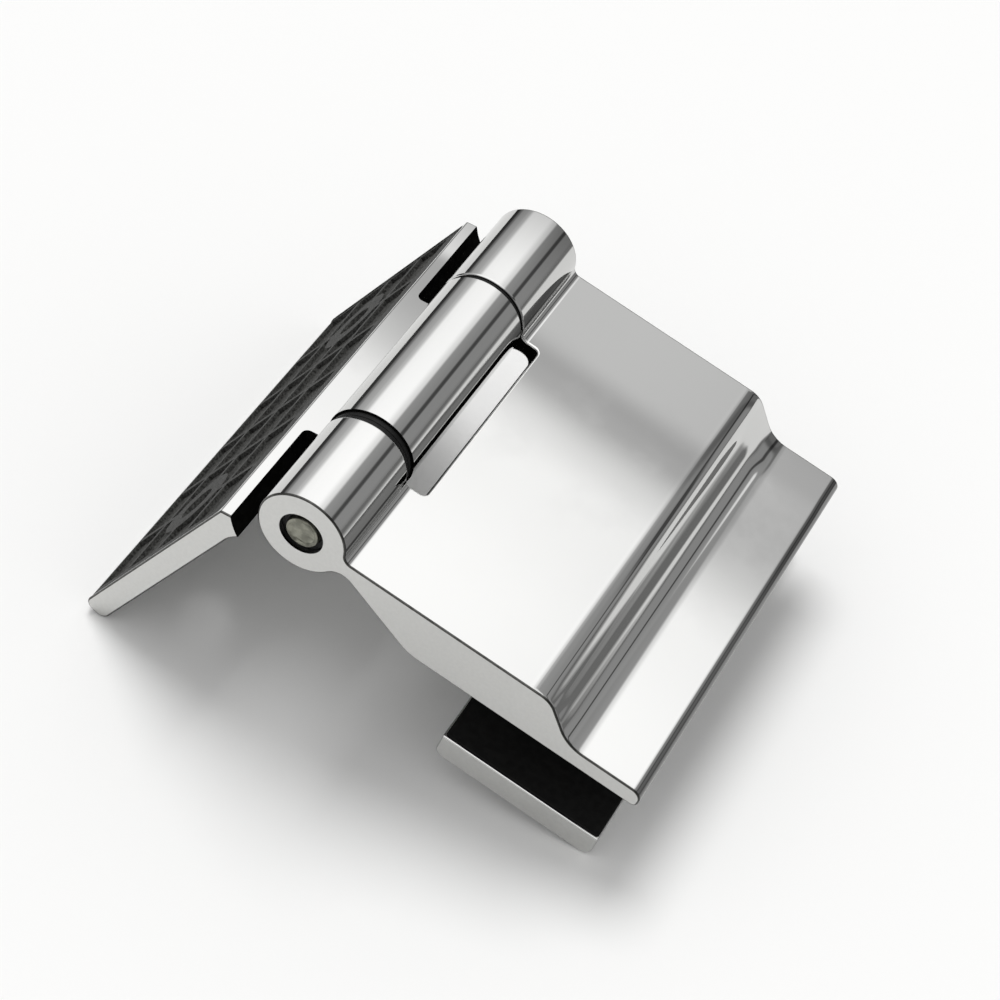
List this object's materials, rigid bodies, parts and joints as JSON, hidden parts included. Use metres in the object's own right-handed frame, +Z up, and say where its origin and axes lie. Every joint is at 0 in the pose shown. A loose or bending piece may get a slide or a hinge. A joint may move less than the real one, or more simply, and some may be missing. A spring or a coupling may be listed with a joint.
{
  "type": "shower door hinge",
  "caption": "Polished wall-to-glass shower door hinge with a stepped door leaf, a glass clamp plate and a padded fixed leaf.",
  "frame": {"origin": "middle of the bounding box at floor level, under the standing hinge", "axes": "+Z up, +Y along the hinge axis towards the rear, +X towards the door leaf"},
  "size_m": [0.1024, 0.0844, 0.0503],
  "materials": {
    "polished_door": "mirror polished, satin end faces",
    "polished_fixed": "mirror polished, satin end faces",
    "polished_clamp": "satin",
    "pad_rubber": "matte, moulded grid of pockets",
    "gasket_rubber": "matte",
    "pin_steel": "rough sawn end",
    "screw_steel": "plain",
    "bush_nylon": "matte",
    "sleeve_nylon": "matte"
  },
  "bodies": {
    "fixed": {"fixed_leaf": "polished_fixed", "wall_pad": "pad_rubber", "hinge_pin": "pin_steel", "pin_grub_screw": "screw_steel"},
    "door": {"door_leaf": "polished_door", "front_bush": "bush_nylon", "rear_bush": "bush_nylon", "thrust_washer": "bush_nylon", "leaf_gasket": "gasket_rubber", "glass_sleeve_front": "sleeve_nylon", "glass_sleeve_rear": "sleeve_nylon"},
    "clamp": {"clamp_plate": "polished_clamp", "clamp_gasket": "gasket_rubber"},
    "front_screw": {"clamp_screw_front": "screw_steel"},
    "rear_screw": {"clamp_screw_rear": "screw_steel"}
  },
  "joints": [
    {"name": "door_swing", "type": "hinge", "parent": "fixed", "child": "door", "pos_m": [-0.01308, 0, 0.04229], "axis": [0, 1, 0], "range_deg": [-70, 72]},
    {"name": "clamp_travel", "type": "slide", "parent": "door", "child": "clamp", "axis": [0.218, 0, 0.9759], "range_m": [0, 0.0032]},
    {"name": "front_screw_turn", "type": "hinge", "parent": "clamp", "child": "front_screw", "pos_m": [0.02453, -0.027, 0.00427], "axis": [0.218, 0, 0.9759], "range_deg": [0, 1440]},
    {"name": "rear_screw_turn", "type": "hinge", "parent": "clamp", "child": "rear_screw", "pos_m": [0.02453, 0.027, 0.00427], "axis": [0.218, 0, 0.9759], "range_deg": [0, 1440]}
  ],
  "couplings": [
    {"joint": "front_screw_turn", "follows": "clamp_travel", "rad_per_m": 7854},
    {"joint": "rear_screw_turn", "follows": "clamp_travel", "rad_per_m": 7854}
  ]
}
